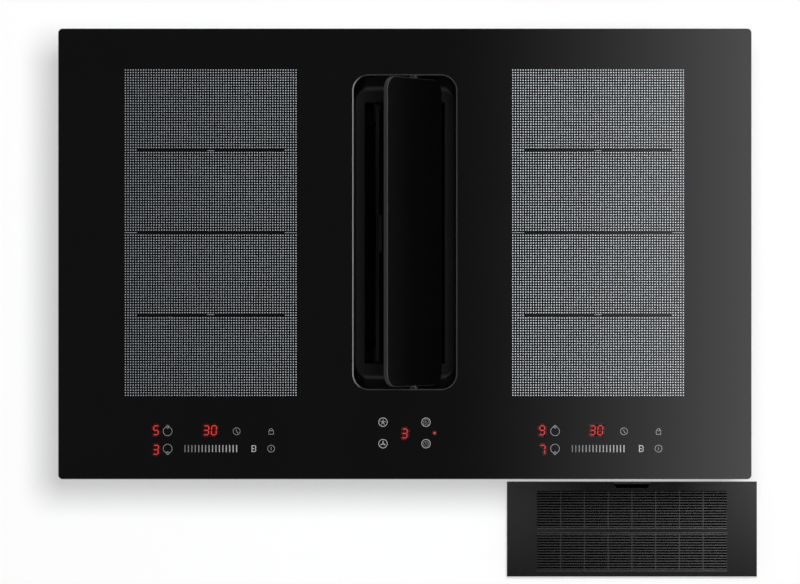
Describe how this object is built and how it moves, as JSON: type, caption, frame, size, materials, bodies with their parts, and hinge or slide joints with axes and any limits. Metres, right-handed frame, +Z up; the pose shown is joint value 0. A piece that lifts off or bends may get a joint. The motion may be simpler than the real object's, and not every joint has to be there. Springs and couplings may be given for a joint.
{
  "type": "downdraft induction cooktop",
  "caption": "Black glass induction cooktop with a hinged vent flap in the middle, an extractor box underneath and a removable charcoal cassette.",
  "frame": {"origin": "on the bench plane, straight under the middle of the glass plate", "axes": "+X to the right along the long side of the glass, +Y to the back, +Z up"},
  "size_m": [0.8272, 0.649, 0.268],
  "materials": {
    "black_glass_ceramic": "polished black glass-ceramic",
    "foam_seal": "closed-cell foam strip",
    "silicone": "matt black silicone",
    "rubber": "moulded rubber",
    "galvanised_sheet": "zinc-coated sheet steel",
    "aluminium_sheet": "rolled sheet",
    "former_plastic": "heat-proof moulded plastic",
    "copper_litz": "stranded copper winding",
    "ferrite": "sintered ferrite",
    "mica": "pressed mica sheet",
    "sensor_plastic": "moulded sensor housing",
    "spring_steel": "spring wire",
    "plated_steel": "zinc-plated steel",
    "circuit_board": "solder-masked board",
    "aluminium_extrusion": "extruded, plain",
    "capacitor_film": "sleeved capacitors",
    "fan_plastic": "moulded black plastic",
    "terminal_plastic": "moulded terminal plastic",
    "black_plastic": "moulded black plastic",
    "display_housing": "smoked red display window",
    "contact_foam": "conductive foam pads",
    "slide_plastic": "acetal slide strip",
    "grey_plastic": "moulded grey plastic",
    "motor_steel": "painted motor shell",
    "collar_metal": "black enamelled metal with a bare bright lip",
    "bush_plastic": "acetal bush",
    "stainless_sheet": "brushed stainless sheet",
    "filter_mesh": "layered expanded mesh",
    "cassette_plastic": "moulded charcoal-grey plastic",
    "charcoal": "pressed charcoal granules",
    "damper_plastic": "moulded damper blade",
    "drawer_plastic": "moulded drawer"
  },
  "bodies": {
    "root": {"glass_plate": "black_glass_ceramic", "glass_seal": "foam_seal", "glass_bond": "silicone", "intake_gasket": "silicone", "motor_grommets": "rubber", "upper_tray": "galvanised_sheet", "coil_carriers": "aluminium_sheet", "coil_formers": "former_plastic", "induction_coils": "copper_litz", "ferrite_bars": "ferrite", "mica_sheets": "mica", "temperature_sensors": "sensor_plastic", "carrier_springs": "spring_steel", "carrier_posts": "plated_steel", "inverter_boards": "circuit_board", "heat_sinks": "aluminium_extrusion", "power_capacitors": "capacitor_film", "cooling_fan_housings": "fan_plastic", "mains_filter_board": "circuit_board", "terminal_block": "terminal_plastic", "terminal_cover": "black_plastic", "cable_gland": "black_plastic", "touch_boards": "circuit_board", "fan_touch_board": "circuit_board", "display_modules": "display_housing", "touch_springs": "contact_foam", "duct_sleeve": "black_plastic", "lower_box": "galvanised_sheet", "lower_lid": "galvanised_sheet", "cassette_holder": "black_plastic", "drawer_rails": "slide_plastic", "blower_scroll": "grey_plastic", "scroll_cover": "grey_plastic", "inlet_ring": "grey_plastic", "blower_motor": "motor_steel", "outlet_duct": "black_plastic", "damper_frame": "grey_plastic", "blower_board": "circuit_board", "worktop_clamps": "plated_steel", "clamp_screws": "plated_steel", "casing_screws": "plated_steel"},
    "intake_insert": {"intake_collar": "collar_metal", "flap_bushes": "bush_plastic", "grease_filter_frame": "stainless_sheet", "grease_filter_mesh": "filter_mesh"},
    "flap": {"flap_glass": "black_glass_ceramic", "flap_bracket": "stainless_sheet", "flap_pins": "plated_steel"},
    "cassette_left": {"cassette_frame_left": "cassette_plastic", "charcoal_bed_left": "charcoal"},
    "cassette_loose": {"cassette_frame_loose": "cassette_plastic", "charcoal_bed_loose": "charcoal"},
    "blower_wheel": {"impeller": "grey_plastic"},
    "cooling_wheel_left": {"cooling_rotor_left": "fan_plastic"},
    "cooling_wheel_right": {"cooling_rotor_right": "fan_plastic"},
    "damper_left": {"damper_flap_left": "damper_plastic"},
    "damper_right": {"damper_flap_right": "damper_plastic"},
    "drawer": {"drip_drawer": "drawer_plastic"}
  },
  "joints": [
    {"name": "insert_lift", "type": "slide", "parent": "root", "child": "intake_insert", "axis": [0, 0, 1], "range_m": [0, 0.18]},
    {"name": "flap_hinge", "type": "hinge", "parent": "intake_insert", "child": "flap", "pos_m": [0.011, 0.025, 0.206], "axis": [0, 1, 0], "range_deg": [-57, 0]},
    {"name": "cassette_left_lift", "type": "slide", "parent": "root", "child": "cassette_left", "axis": [0, 0, 1], "range_m": [0, 0.19]},
    {"name": "cassette_loose_lift", "type": "slide", "parent": "root", "child": "cassette_loose", "axis": [0, 0, 1], "range_m": [0, 0.2]},
    {"name": "blower_spin", "type": "hinge", "parent": "root", "child": "blower_wheel", "pos_m": [0.205, -0.02, 0.05], "axis": [0, 0, 1], "continuous": true},
    {"name": "cooling_spin_left", "type": "hinge", "parent": "root", "child": "cooling_wheel_left", "pos_m": [-0.2235, 0.155, 0.17], "axis": [0, 0, 1], "continuous": true},
    {"name": "cooling_spin_right", "type": "hinge", "parent": "root", "child": "cooling_wheel_right", "pos_m": [0.2235, 0.155, 0.17], "axis": [0, 0, 1], "continuous": true},
    {"name": "damper_swing_left", "type": "hinge", "parent": "root", "child": "damper_left", "pos_m": [0.1625, 0.144, 0.0915], "axis": [1, 0, 0], "range_deg": [0, 70]},
    {"name": "damper_swing_right", "type": "hinge", "parent": "root", "child": "damper_right", "pos_m": [0.2725, 0.144, 0.0915], "axis": [1, 0, 0], "range_deg": [0, 70]},
    {"name": "drawer_slide", "type": "slide", "parent": "root", "child": "drawer", "axis": [0, -1, 0], "range_m": [0, 0.25]}
  ]
}
